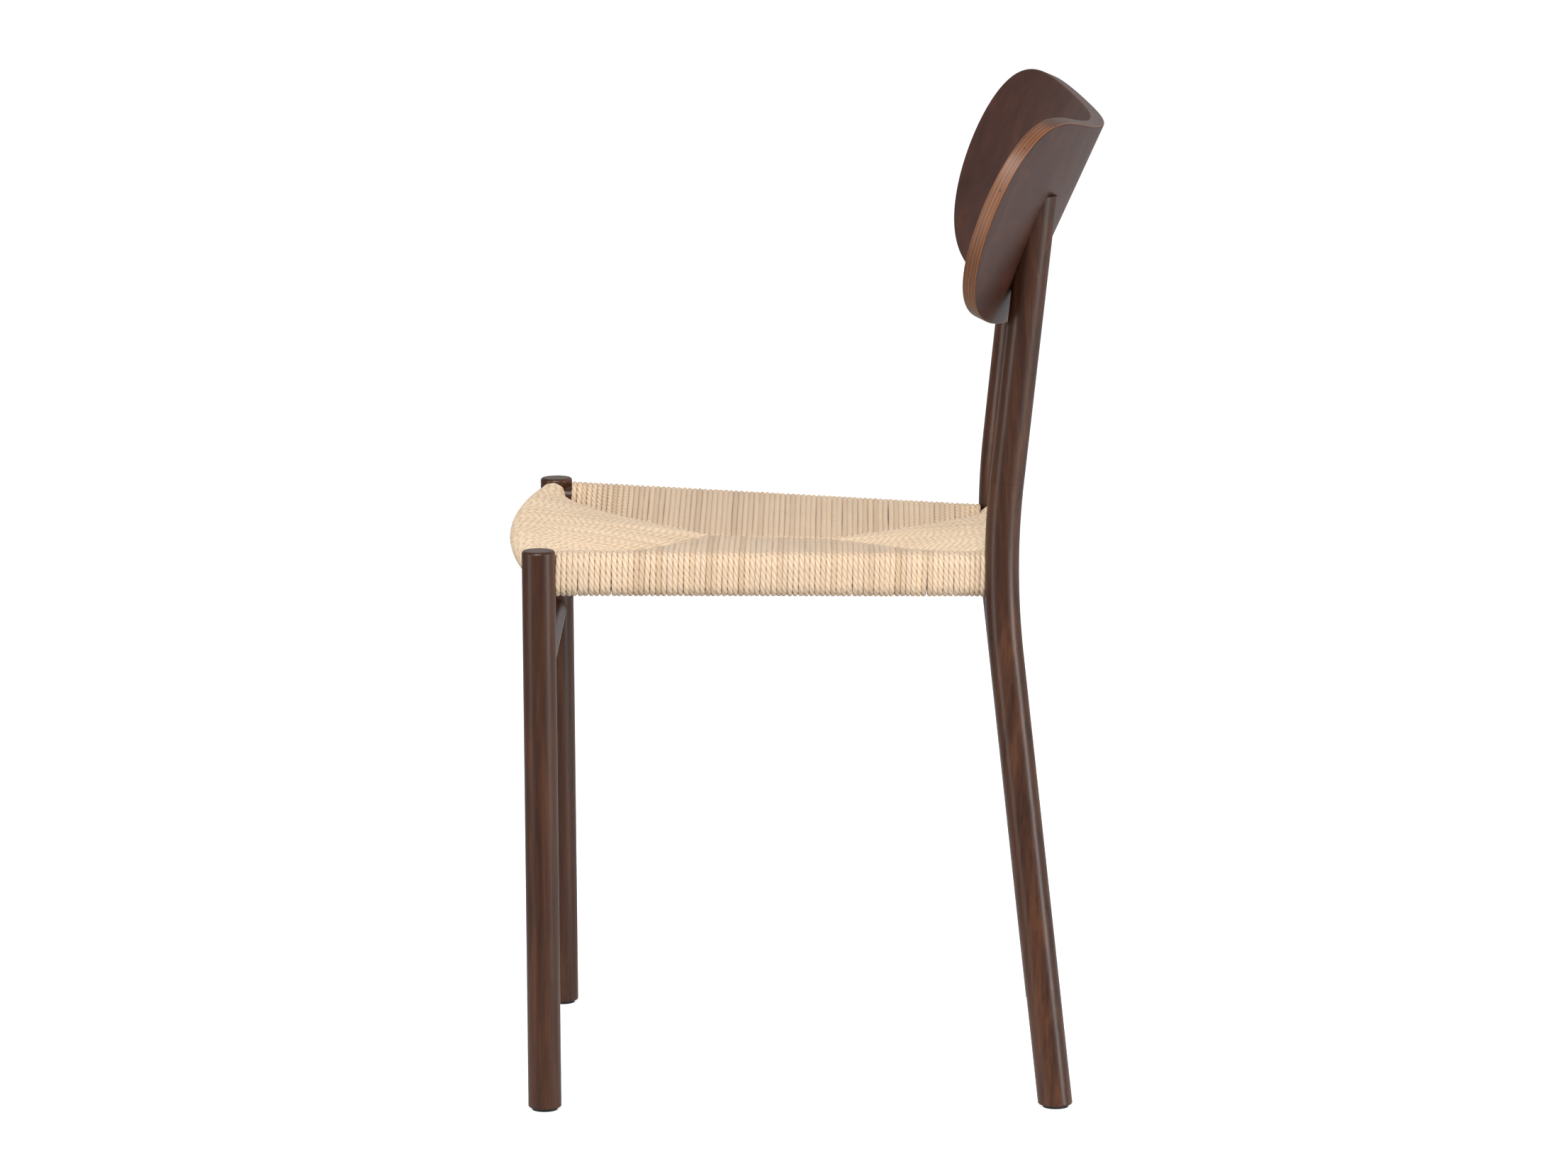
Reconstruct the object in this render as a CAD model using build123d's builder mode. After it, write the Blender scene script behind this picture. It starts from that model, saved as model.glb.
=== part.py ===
from build123d import *

import os
from math import cos, pi, radians, sin, sqrt, tan

# Side chair: round legs, a wide bent-ply back and a woven cord seat. Millimetres, +Z up, front towards -Y.
# The origin lies on the floor under the middle of the chair's bounding box. Y positions are first given from
# the front leg axis, the line that a chair maker measures from, and `at` moves them into the model's frame.

# ---------------------------------------------------------------- driving dimensions
FRONT_OVERHANG = 30.38  # front leg axis to the foremost point of the seat
OVERALL_DEPTH = 490.56
ORIGIN_Y = OVERALL_DEPTH / 2 - FRONT_OVERHANG

GLIDE_HEIGHT = 2.5
GLIDE_RADIUS = 10.5
GLIDE_ROUND = 0.6

FRONT_LEG_RADIUS = 13.5
FRONT_LEG_TOP = 460.0
FRONT_FOOT_X = 192.0
FRONT_TOP_X = 188.0
LEG_TOP_ROUND = 2.5
LEG_FOOT_ROUND = 1.2

REAR_LEG_RADIUS = 14.0
REAR_FOOT = (190.0, 415.0)
LOWER_SLOPE = (-0.147, -0.105)  # sideways and rearward run of the leg for each millimetre of rise
UPPER_SLOPE = (0.060, 0.112)
BEND_HEIGHT = 434.0
BEND_HALF_LENGTH = 71.0
REAR_LEG_TIP = 739.0
LEG_DOWEL_RADIUS = 5.0
LEG_DOWEL_LENGTH = 44.0

SEAT_HEIGHT = 440.0  # middle of the rails at the front legs
SEAT_FALL = 0.035  # drop towards the rear for each millimetre of depth
RAIL_WIDTH = 18.0
RAIL_DEPTH = 28.0
RAIL_ROUND = 7.0
RAIL_INSET = 9.0  # side rail axis inside the leg axis
SHOULDER = 9.0  # side rails start this far behind the front leg axis and end as far before the rear rail axis
FRONT_RAIL_BOW = 19.2  # the front rail is a bent rod, set nearer the top of the seat than the other rails
FRONT_RAIL_RADIUS = 7.0
FRONT_RAIL_RISE = 6.0
CORD = 4.4
CORD_GAP = 2.0  # bare rail left between cord and leg
TENON_RADIUS = 5.5
TENON_LENGTH = 12.0
TENON_STAGGER = 7.0  # cross tenons above, side tenons below the middle of the rail
SEAM_FRONT = 134.0  # where the front pair of seams meets, from the front leg axis
SEAM_REAR = 235.0
SEAM_HALF_WIDTH = 2.0
DISH_TOP = 12.5  # how far the middle of the seat hangs below the cord on the rails
DISH_BOTTOM = 8.0
STUFFING = 3.0
STUFFING_DROP = 3.0  # middle of the stuffing below the middle of the rails

STRETCHER_RADIUS = 8.0
STRETCHER_HEIGHT = 348.0
STRETCHER_TENON_RADIUS = 6.0

BACK_LEAN = 24.7
BACK_THICKNESS = 12.5
BACK_CENTRE = (419.9, 725.0)  # front face at mid width: depth and height
BACK_HALF_WIDTH = 244.0
BACK_PLAN_RADIUS = 374.0
BACK_WING_EASE = 3.2  # how much the wings straighten out of that radius, at 200 mm from the middle
BACK_EDGE_ROUND = 1.5
# outline, with w running from 0 at mid width to 1 at a wing's end: its middle line, and its half height
BACK_MIDDLE = (-15.8, 24.5, 22.0)  # factors of 1, w squared and w to the fourth
BACK_HALF_HEIGHT = (86.2, 9.5)  # factors of 1 and w squared
BACK_CORNER_POWER = 6.6  # higher is squarer

SCREW_RADIUS = 2.0
SCREW_HEAD_RADIUS = 4.0
SCREW_HEAD_LENGTH = 3.0
SCREW_BITE = 9.0  # how far a screw enters the back
SCREWS = ((688.0, 12.5), (710.0, 6.0))  # height, and distance from the back to the top of the screw head

TACK_RADIUS = 1.0
TACK_LENGTH = 11.0
TACK_HEAD_RADIUS = 2.5
TACK_HEAD_HEIGHT = 1.0
TACK_INSET = 40.0  # from either end of a side rail

SPARE = 60.0  # length that a blank or a cutter has beyond what it must reach

SIDES = {"left": 1, "right": -1}

os.makedirs("parts", exist_ok=True)


def at(x, y, z):
    """A point given from the front leg axis, in the model's frame."""
    return (x, y - ORIGIN_Y, z)


SEAT_PLANE = Plane(origin=at(0, 0, SEAT_HEIGHT), x_dir=(1, 0, 0), z_dir=(0, SEAT_FALL, 1))


def front_leg_axis(side, height):
    x = FRONT_FOOT_X + (FRONT_TOP_X - FRONT_FOOT_X) * height / FRONT_LEG_TOP
    return at(side * x, 0, height)


def rear_leg_axis(side, height):
    """The two straight stretches of the rear leg, without the curve that joins them."""
    x = REAR_FOOT[0] + LOWER_SLOPE[0] * BEND_HEIGHT
    y = REAR_FOOT[1] + LOWER_SLOPE[1] * BEND_HEIGHT
    run = LOWER_SLOPE if height < BEND_HEIGHT else UPPER_SLOPE
    return at(side * (x + run[0] * (height - BEND_HEIGHT)), y + run[1] * (height - BEND_HEIGHT), height)


def back_depth(x):
    """How far the back's front face comes forward of its middle at a distance x from it."""
    return x * x / (2 * BACK_PLAN_RADIUS) - BACK_WING_EASE * (x / 200) ** 4


def back_normal(x):
    """Unit vector out of the back's rear face."""
    slope = x / BACK_PLAN_RADIUS - BACK_WING_EASE * 4 * (x / 200) ** 3 / 200
    return Vector(slope, 1, -tan(radians(BACK_LEAN))).normalized()


def back_point(x, height):
    """A point on the back's front face."""
    return at(x, BACK_CENTRE[0] - back_depth(x) + (height - BACK_CENTRE[1]) * tan(radians(BACK_LEAN)), height)


def save(piece, name):
    piece.label = name
    export_step(piece, f"parts/{name}.step")


SEAT_REAR = rear_leg_axis(1, BEND_HEIGHT)[1] + ORIGIN_Y + 3.0  # rear rail axis, behind the crown of the bend
REAR_HALF = abs(rear_leg_axis(1, BEND_HEIGHT)[0]) + 2.0  # rear leg axis in the curve of the bend


def seat_line(side, local_y):
    """X of a side rail's axis at a depth in the seat plane."""
    front = FRONT_TOP_X - RAIL_INSET
    rear = abs(rear_leg_axis(1, BEND_HEIGHT)[0]) - RAIL_INSET
    return side * (front + (rear - front) * local_y / SEAT_REAR)


# ---------------------------------------------------------------- legs before their joints are cut
front_leg_blanks = {}
rear_lower_blanks = {}
rear_upper_blanks = {}
for side_name, side in SIDES.items():
    foot = Vector(front_leg_axis(side, -SPARE))
    top = Vector(front_leg_axis(side, FRONT_LEG_TOP + SPARE))
    with BuildPart() as front_leg:
        with BuildSketch(Plane(origin=foot, z_dir=top - foot)):
            Circle(FRONT_LEG_RADIUS)
        extrude(amount=(top - foot).length)
        split(bisect_by=Plane.XY.offset(GLIDE_HEIGHT), keep=Keep.TOP)
        split(bisect_by=Plane.XY.offset(FRONT_LEG_TOP), keep=Keep.BOTTOM)
        fillet(front_leg.edges().group_by(Axis.Z)[-1], radius=LEG_TOP_ROUND)
        fillet(front_leg.edges().group_by(Axis.Z)[0], radius=LEG_FOOT_ROUND)
    front_leg_blanks[side_name] = front_leg.part

    knee = Vector(rear_leg_axis(side, BEND_HEIGHT))
    foot = Vector(rear_leg_axis(side, -SPARE))
    bend_start = Vector(rear_leg_axis(side, BEND_HEIGHT - BEND_HALF_LENGTH))
    bend_end = Vector(rear_leg_axis(side, BEND_HEIGHT + BEND_HALF_LENGTH))
    tip = Vector(rear_leg_axis(side, REAR_LEG_TIP + SPARE))
    with BuildPart() as rear_lower:
        with BuildLine() as path:
            Line(foot, bend_start)
            Bezier(bend_start, knee, bend_end)
        with BuildSketch(Plane(origin=foot, z_dir=bend_start - foot)):
            Circle(REAR_LEG_RADIUS)
        sweep(path=path.wires()[0])
        split(bisect_by=Plane.XY.offset(GLIDE_HEIGHT), keep=Keep.TOP)
        fillet(rear_lower.edges().group_by(Axis.Z)[0], radius=LEG_FOOT_ROUND)
    rear_lower_blanks[side_name] = rear_lower.part

    with BuildPart() as rear_upper:
        with BuildSketch(Plane(origin=bend_end, z_dir=tip - bend_end)):
            Circle(REAR_LEG_RADIUS)
        extrude(amount=(tip - bend_end).length)
        split(bisect_by=Plane.XY.offset(REAR_LEG_TIP), keep=Keep.BOTTOM)
    rear_upper_blanks[side_name] = rear_upper.part

# ---------------------------------------------------------------- back
OUTLINE_STEPS = 12


def outline_point(turn):
    """Outline of the back seen from the front, once round as turn goes from 0 to 4 quarter turns."""
    reach = sin(turn * pi / 2)
    w = abs(reach)
    middle = BACK_MIDDLE[0] + BACK_MIDDLE[1] * w**2 + BACK_MIDDLE[2] * w**4
    half = (BACK_HALF_HEIGHT[0] + BACK_HALF_HEIGHT[1] * w**2) * sqrt(max(0.0, 1 - w**BACK_CORNER_POWER))
    rise = middle + (half if cos(turn * pi / 2) >= 0 else -half)
    return (BACK_HALF_WIDTH * reach, BACK_CENTRE[1] + rise * cos(radians(BACK_LEAN)))


with BuildPart() as back_outline:
    with BuildSketch(Plane.XZ):
        with BuildLine():
            Spline([outline_point(i / OUTLINE_STEPS) for i in range(4 * OUTLINE_STEPS)], periodic=True)
        make_face()
    extrude(amount=2 * OVERALL_DEPTH, both=True)

rise = Vector(0, sin(radians(BACK_LEAN)), cos(radians(BACK_LEAN)))
PLAN_STEPS = 12
SHEET_HALF_WIDTH = BACK_HALF_WIDTH + 16.0  # the sheet that the back is cut from
SHEET_HALF_HEIGHT = 150.0
plan_points = []
for i in range(PLAN_STEPS + 1):
    across = SHEET_HALF_WIDTH * (2 * i / PLAN_STEPS - 1)
    plan_points.append(Vector(back_point(across, BACK_CENTRE[1])) - rise * SHEET_HALF_HEIGHT)
with BuildLine() as back_plan:
    Spline(plan_points)
back_sheet = Face.extrude(back_plan.edges()[0], rise * 2 * SHEET_HALF_HEIGHT)
back_face = back_outline.part.intersect(back_sheet)[0]
outward = 1 if back_face.normal_at().Y > 0 else -1

with BuildPart() as backrest:
    thicken(back_face, amount=outward * BACK_THICKNESS)
    fillet(backrest.edges(), radius=BACK_EDGE_ROUND)
back_blank = backrest.part

# everything in front of the back's rear face, to cut the scarfs of the rear legs
with BuildPart() as scarf_cutter:
    thicken(back_sheet, amount=outward * BACK_THICKNESS)
    thicken(back_sheet, amount=-outward * SPARE)

# ---------------------------------------------------------------- back screws, their plugs, leg dowels
screws = []
plugs = []
dowels = []
for side_name, side in SIDES.items():
    for height, head_at in SCREWS:
        x = rear_leg_axis(side, height)[0]
        normal = back_normal(x)
        seat = Vector(back_point(x, height)) + normal * BACK_THICKNESS
        with BuildPart() as screw:
            with BuildSketch(Plane(origin=seat - normal * SCREW_BITE, z_dir=normal)):
                Circle(SCREW_RADIUS)
            extrude(amount=SCREW_BITE + head_at - SCREW_HEAD_LENGTH)
            with BuildSketch(Plane(origin=seat + normal * (head_at - SCREW_HEAD_LENGTH), z_dir=normal)):
                Circle(SCREW_HEAD_RADIUS)
            extrude(amount=SCREW_HEAD_LENGTH)
            chamfer(screw.faces().sort_by(lambda f: f.area).last.edges(), length=0.4)
        screws.append(screw.part)
        with BuildPart() as plug:
            with BuildSketch(Plane(origin=seat + normal * head_at, z_dir=normal)):
                Circle(SCREW_HEAD_RADIUS)
            extrude(amount=SPARE)
            add(rear_upper_blanks[side_name], mode=Mode.INTERSECT)
        plugs.append(plug.part)

    joint = Vector(rear_leg_axis(side, BEND_HEIGHT + BEND_HALF_LENGTH))
    along = (Vector(rear_leg_axis(side, REAR_LEG_TIP)) - joint).normalized()
    with BuildPart() as dowel:
        with BuildSketch(Plane(origin=joint - along * LEG_DOWEL_LENGTH / 2, z_dir=along)):
            Circle(LEG_DOWEL_RADIUS)
        extrude(amount=LEG_DOWEL_LENGTH)
    dowels.append(dowel.part)

# ---------------------------------------------------------------- rails and stretcher
leg_blanks = [*front_leg_blanks.values(), *rear_lower_blanks.values()]
front_x = FRONT_TOP_X


def seat_point(x, local_y, rise_above=0.0):
    return SEAT_PLANE.from_local_coords(Vector(x, local_y, rise_above))


def tenon(start, end):
    with BuildPart() as pin:
        with BuildSketch(Plane(origin=start, z_dir=end - start)):
            Circle(TENON_RADIUS)
        extrude(amount=(end - start).length)
    return pin.part


def rail(path_wire, start, ahead, width, depth, corner):
    """A bar along a path, of rounded section, or round where the corners take all of its width."""
    with BuildPart() as bar:
        with BuildSketch(Plane(origin=start, z_dir=ahead, x_dir=ahead.cross(SEAT_PLANE.z_dir))):
            if corner < width / 2:
                RectangleRounded(width, depth, corner)
            else:
                Circle(width / 2)
        sweep(path=path_wire)
    return bar.part


with BuildLine() as front_path:
    ThreePointArc(
        seat_point(-front_x, 0, FRONT_RAIL_RISE),
        seat_point(0, -FRONT_RAIL_BOW, FRONT_RAIL_RISE),
        seat_point(front_x, 0, FRONT_RAIL_RISE),
    )
with BuildLine() as rear_path:
    Line(seat_point(-REAR_HALF, SEAT_REAR), seat_point(REAR_HALF, SEAT_REAR))
paths = {"front": front_path.wires()[0], "rear": rear_path.wires()[0]}
for side_name, side in SIDES.items():
    with BuildLine() as side_path:
        Line(
            seat_point(seat_line(side, SHOULDER), SHOULDER),
            seat_point(seat_line(side, SEAT_REAR - SHOULDER), SEAT_REAR - SHOULDER),
        )
    paths[side_name] = side_path.wires()[0]

rail_blanks = {}
sleeves = {}
for name, path in paths.items():
    start, ahead = path @ 0, path % 0
    width, depth, corner = RAIL_WIDTH, RAIL_DEPTH, RAIL_ROUND
    if name == "front":
        width, depth, corner = 2 * FRONT_RAIL_RADIUS, 2 * FRONT_RAIL_RADIUS, FRONT_RAIL_RADIUS
    rail_blanks[name] = rail(path, start, ahead, width, depth, corner)
    sleeves[name] = rail(path, start, ahead, width + 2 * CORD, depth + 2 * CORD, corner + CORD)

TENON_START = FRONT_LEG_RADIUS + 6.0  # inside the rail, measured from the leg axis
TENON_END = FRONT_LEG_RADIUS - TENON_LENGTH
tenons = {name: [] for name in paths}
for side in SIDES.values():
    for name, local_y, half, rise_above in (
        ("front", -3.0, front_x, FRONT_RAIL_RISE),
        ("rear", SEAT_REAR, REAR_HALF - 2.0, TENON_STAGGER),
    ):
        start = seat_point(side * (half - TENON_START), local_y, rise_above)
        end = seat_point(side * (half - TENON_END), local_y, rise_above)
        tenons[name].append(tenon(start, end))
for side_name, side in SIDES.items():
    for inner, outer in ((TENON_START, TENON_END), (SEAT_REAR - TENON_START, SEAT_REAR - TENON_END)):
        start = seat_point(seat_line(side, inner), inner, -TENON_STAGGER)
        end = seat_point(seat_line(side, outer), outer, -TENON_STAGGER)
        tenons[side_name].append(tenon(start, end))

rails = {}
for name, blank in rail_blanks.items():
    with BuildPart() as bar:
        add(blank)
        for leg in leg_blanks:
            add(leg, mode=Mode.SUBTRACT)
        if name not in SIDES:
            for side_name in SIDES:
                add(rail_blanks[side_name], mode=Mode.SUBTRACT)
                for pin in tenons[side_name]:
                    add(pin, mode=Mode.SUBTRACT)
        body = bar.solids().sort_by(lambda s: s.volume).last
    with BuildPart() as jointed:
        add(body)
        for pin in tenons[name]:
            add(pin)
    rails[name] = jointed.part

stretcher_half = front_leg_axis(1, STRETCHER_HEIGHT)[0]
stretcher_end = stretcher_half - FRONT_LEG_RADIUS + TENON_LENGTH
with BuildPart() as stretcher:
    with BuildSketch(Plane.YZ.offset(-stretcher_half)):
        with Locations(front_leg_axis(1, STRETCHER_HEIGHT)[1:]):
            Circle(STRETCHER_RADIUS)
    extrude(amount=2 * stretcher_half)
    for leg in front_leg_blanks.values():
        add(leg, mode=Mode.SUBTRACT)
with BuildPart() as front_stretcher:
    add(stretcher.solids().sort_by(lambda s: s.volume).last)
    with BuildSketch(Plane.YZ.offset(-stretcher_end)):
        with Locations(front_leg_axis(1, STRETCHER_HEIGHT)[1:]):
            Circle(STRETCHER_TENON_RADIUS)
    extrude(amount=2 * stretcher_end)
save(front_stretcher.part, "front_stretcher")

# ---------------------------------------------------------------- tacks that hold the ends of the cord
tacks = []
for side_name, side in SIDES.items():
    for local_y in (TACK_INSET, SEAT_REAR - TACK_INSET):
        x = seat_line(side, local_y) - side * (RAIL_WIDTH / 2)
        inward = Vector(-side, 0, 0)
        with BuildPart() as tack:
            with BuildSketch(Plane(origin=seat_point(x, local_y) - inward * TACK_LENGTH, z_dir=inward)):
                Circle(TACK_RADIUS)
            extrude(amount=TACK_LENGTH)
            with BuildSketch(Plane(origin=seat_point(x, local_y), z_dir=inward)):
                Circle(TACK_HEAD_RADIUS)
            extrude(amount=TACK_HEAD_HEIGHT)
        tacks.append(tack.part)
for side_name in SIDES:
    with BuildPart() as drilled:
        add(rails[side_name])
        for tack in tacks:
            add(tack, mode=Mode.SUBTRACT)
    rails[side_name] = drilled.part
for name, bar in rails.items():
    save(bar, f"seat_rail_{name}")
save(Compound(tacks), "cord_tacks")

# ---------------------------------------------------------------- legs with their mortises
for side_name, side in SIDES.items():
    with BuildPart() as front_leg:
        add(front_leg_blanks[side_name])
        for pin in (*tenons["front"], *tenons[side_name], front_stretcher.part):
            add(pin, mode=Mode.SUBTRACT)
    save(front_leg.part, f"front_leg_{side_name}")

    with BuildPart() as rear_lower:
        add(rear_lower_blanks[side_name])
        for pin in (*tenons["rear"], *tenons[side_name], *dowels):
            add(pin, mode=Mode.SUBTRACT)
    save(rear_lower.part, f"rear_leg_lower_{side_name}")

    with BuildPart() as rear_upper:
        add(rear_upper_blanks[side_name])
        add(scarf_cutter.part, mode=Mode.SUBTRACT)
        for pin in (*dowels, *screws, *plugs):
            add(pin, mode=Mode.SUBTRACT)
    save(rear_upper.part, f"rear_leg_upper_{side_name}")

with BuildPart() as drilled_back:
    add(back_blank)
    for screw in screws:
        add(screw, mode=Mode.SUBTRACT)
save(drilled_back.part, "backrest")
save(Compound(dowels), "rear_leg_dowels")
save(Compound(screws), "backrest_screws")
save(Compound(plugs), "screw_plugs")

# ---------------------------------------------------------------- woven seat, as four fields with stuffing
WRAP_HALF = RAIL_DEPTH / 2 + CORD
FRONT_UNDERSIDE = FRONT_RAIL_RISE - FRONT_RAIL_RADIUS - CORD  # underside of the cord on the front rod
corner_x = seat_line(1, 0)
rear_x = seat_line(1, SEAT_REAR)
with BuildPart() as seat_form:
    with BuildSketch(SEAT_PLANE.offset(-WRAP_HALF)):
        with BuildLine():
            ThreePointArc((-corner_x, 0), (0, -FRONT_RAIL_BOW), (corner_x, 0))
            Polyline((corner_x, 0), (rear_x, SEAT_REAR), (-rear_x, SEAT_REAR), (-corner_x, 0))
        make_face()
    extrude(amount=2 * WRAP_HALF)
    for drop, face_at in ((DISH_TOP, WRAP_HALF), (DISH_BOTTOM, -WRAP_HALF)):
        toward = -1 if face_at > 0 else 1
        with BuildSketch(SEAT_PLANE.offset(face_at)):
            Polygon((-corner_x, 0), (corner_x, 0), (rear_x, SEAT_REAR), (-rear_x, SEAT_REAR), align=None)
        with BuildSketch(SEAT_PLANE.offset(face_at + toward * drop)):
            Polygon(
                (-SEAM_HALF_WIDTH, SEAM_FRONT),
                (SEAM_HALF_WIDTH, SEAM_FRONT),
                (SEAM_HALF_WIDTH, SEAM_REAR),
                (-SEAM_HALF_WIDTH, SEAM_REAR),
                align=None,
            )
        loft(mode=Mode.SUBTRACT, ruled=True)
    # the underside rises towards the front rod
    with BuildSketch(Plane(origin=seat_point(0, 0), x_dir=SEAT_PLANE.y_dir, z_dir=(1, 0, 0))):
        Polygon(
            (-SPARE, -SPARE),
            (-SPARE, FRONT_UNDERSIDE),
            (-FRONT_RAIL_BOW, FRONT_UNDERSIDE),
            (SEAM_FRONT, -WRAP_HALF),
            (SEAM_FRONT, -SPARE),
            align=None,
        )
    extrude(amount=OVERALL_DEPTH, both=True, mode=Mode.SUBTRACT)
    for sleeve in sleeves.values():
        add(sleeve)

# each field's share of the seat, running out past the rails
outlines = {
    "front": [
        (-front_x, 0),
        (-front_x - SPARE, -SPARE),
        (front_x + SPARE, -SPARE),
        (front_x, 0),
        (0, SEAM_FRONT),
    ],
    "rear": [
        (-REAR_HALF, SEAT_REAR),
        (0, SEAM_REAR),
        (REAR_HALF, SEAT_REAR),
        (REAR_HALF + SPARE, SEAT_REAR + SPARE),
        (-REAR_HALF - SPARE, SEAT_REAR + SPARE),
    ],
}
for side_name, side in SIDES.items():
    outlines[side_name] = [
        (side * front_x, 0),
        (side * (front_x + SPARE), -SPARE),
        (side * (REAR_HALF + SPARE), SEAT_REAR + SPARE),
        (side * REAR_HALF, SEAT_REAR),
        (0, SEAM_REAR),
        (0, SEAM_FRONT),
    ]
# stuffing boards, cut to stay clear of the rails and of each other
pads = {
    "front": [(-118, 22), (118, 22), (0, SEAM_FRONT - 12)],
    "rear": [(-80, SEAT_REAR - 22), (80, SEAT_REAR - 22), (0, SEAM_REAR + 14)],
}
for side_name, side in SIDES.items():
    pads[side_name] = [
        (side * 150, 48),
        (side * 112, SEAT_REAR - 45),
        (side * 8, SEAM_REAR - 6),
        (side * 8, SEAM_FRONT + 6),
    ]

for name, corners in outlines.items():
    with BuildPart() as pad:
        with BuildSketch(SEAT_PLANE.offset(-STUFFING_DROP - STUFFING / 2)):
            Polygon(pads[name], align=None)
        extrude(amount=STUFFING)
        for blank in rail_blanks.values():
            add(blank, mode=Mode.SUBTRACT)
    save(pad.part, f"seat_stuffing_{name}")
    with BuildPart() as field:
        with BuildSketch(SEAT_PLANE.offset(-SPARE)):
            Polygon(corners, align=None)
        extrude(amount=2 * SPARE)
        add(seat_form.part, mode=Mode.INTERSECT)
        for bar in rails.values():
            add(bar, mode=Mode.SUBTRACT)
        for tack in tacks:
            add(tack, mode=Mode.SUBTRACT)
        add(pad.part, mode=Mode.SUBTRACT)
        for leg in leg_blanks:
            add(leg, mode=Mode.SUBTRACT)
        for side in SIDES.values():
            for x, local_y, radius in (
                (front_x, 0.0, FRONT_LEG_RADIUS),
                (REAR_HALF - 2.0, SEAT_REAR - 3.0, REAR_LEG_RADIUS),
            ):
                with BuildSketch(SEAT_PLANE.offset(-SPARE)):
                    with Locations((side * x, local_y)):
                        Circle(radius + CORD_GAP)
                extrude(amount=2 * SPARE, mode=Mode.SUBTRACT)
    largest = field.solids().sort_by(lambda s: s.volume).last
    save(largest, f"seat_cord_{name}")

# ---------------------------------------------------------------- feet
feet = {}
for side_name, side in SIDES.items():
    feet[f"front_{side_name}"] = front_leg_axis(side, 0)
    feet[f"rear_{side_name}"] = rear_leg_axis(side, 0)
for name, spot in feet.items():
    with BuildPart() as glide:
        with BuildSketch():
            with Locations(spot[:2]):
                Circle(GLIDE_RADIUS)
        extrude(amount=GLIDE_HEIGHT)
        fillet(glide.edges().group_by(Axis.Z)[0], radius=GLIDE_ROUND)
    save(glide.part, f"foot_glide_{name}")
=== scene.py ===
"""Looks for the side chair: stained wood, a layered ply back and a seat woven strand by strand.

Metres, +Z up, front towards -Y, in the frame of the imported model. The wood and the hardware are the CAD's own
pieces with new materials. The four fields of the seat are replaced by twisted strands of cord.
"""

import math
import random

import bpy
import numpy as np
from mathutils import Matrix, Vector


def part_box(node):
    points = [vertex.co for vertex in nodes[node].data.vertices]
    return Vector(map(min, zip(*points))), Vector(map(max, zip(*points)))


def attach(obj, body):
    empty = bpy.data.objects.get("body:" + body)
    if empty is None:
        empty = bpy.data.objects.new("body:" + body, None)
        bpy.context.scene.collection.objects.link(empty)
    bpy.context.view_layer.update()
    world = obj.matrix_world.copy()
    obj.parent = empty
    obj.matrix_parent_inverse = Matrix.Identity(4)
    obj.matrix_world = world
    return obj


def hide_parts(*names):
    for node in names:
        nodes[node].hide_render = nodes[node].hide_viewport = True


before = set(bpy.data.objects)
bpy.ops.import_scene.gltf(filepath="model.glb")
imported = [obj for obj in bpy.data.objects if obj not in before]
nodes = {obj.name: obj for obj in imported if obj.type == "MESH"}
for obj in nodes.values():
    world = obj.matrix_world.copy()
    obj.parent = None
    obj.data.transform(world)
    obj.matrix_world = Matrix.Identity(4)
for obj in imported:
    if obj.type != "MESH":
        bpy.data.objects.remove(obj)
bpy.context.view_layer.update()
random.seed(11)

# ---------------------------------------------------------------- places worked out from the frame
# The shapes that the CAD gives these pieces; depths are measured back from the front leg axis.
SEAT_FALL = 0.035  # drop towards the rear for each metre of depth
LEG_RISE = 0.020  # top of a front leg above the middle of the rails
FRONT_HALF = 0.188  # middle of the chair to a front leg's axis, at the seat
REAR_HALF = 0.1282  # and to a rear leg's axis
RAIL_WIDTH = 0.018
RAIL_DEPTH = 0.028
RAIL_ROUND = 0.007
RAIL_INSET = 0.009  # side rail axis inside the front leg's axis
RAIL_INSET_REAR = 0.002  # how much further in it is at the rear leg
FRONT_ROD_RADIUS = 0.007
FRONT_ROD_RISE = 0.006  # middle of the front rod above the middle of the rails
FRONT_BOW = 0.0192
UPPER_LEG_SLOPE = (0.060, 0.112)  # sideways and rearward run of the upper rear leg for each metre of rise
BACK_LEAN = math.radians(24.7)
BACK_THICKNESS = 0.0125
BACK_DEPTH = 0.4199
BACK_HEIGHT = 0.725  # middle of the back above the floor
BACK_PLAN_RADIUS = 0.374
BACK_WING_EASE = 0.0032  # how much the wings straighten out of that radius
BACK_EASE_AT = 0.2  # where they do, from the middle

leg_low, leg_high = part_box("front_leg_left")
rear_low, rear_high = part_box("seat_rail_rear")
LEG_AXIS_Y = (leg_low.y + leg_high.y) / 2
REAR_DEPTH = (rear_low.y + rear_high.y) / 2 - LEG_AXIS_Y
SEAT_ORIGIN = Vector((0, LEG_AXIS_Y, leg_high.z - LEG_RISE))
SEAT_NORMAL = Vector((0, SEAT_FALL, 1)).normalized()
SEAT_BACKWARD = Vector((0, 1, -SEAT_FALL)).normalized()


def seat_point(x, y, height):
    """A point of the seat: x sideways, y back from the front leg axis, height above the rails' middle."""
    return SEAT_ORIGIN + Vector((x, 0, 0)) + SEAT_BACKWARD * y + SEAT_NORMAL * height


def side_rail_x(y):
    """How far the side rail's axis is from the middle of the chair, at the depth y."""
    return FRONT_HALF - RAIL_INSET + (REAR_HALF - RAIL_INSET_REAR - FRONT_HALF) * y / REAR_DEPTH


def front_rail_y(x):
    """The depth of the bowed front rod's axis: nothing at the legs, and -FRONT_BOW in the middle."""
    radius = (FRONT_HALF**2 + FRONT_BOW**2) / (2 * FRONT_BOW)
    return radius - FRONT_BOW - math.sqrt(radius**2 - x * x)


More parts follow.
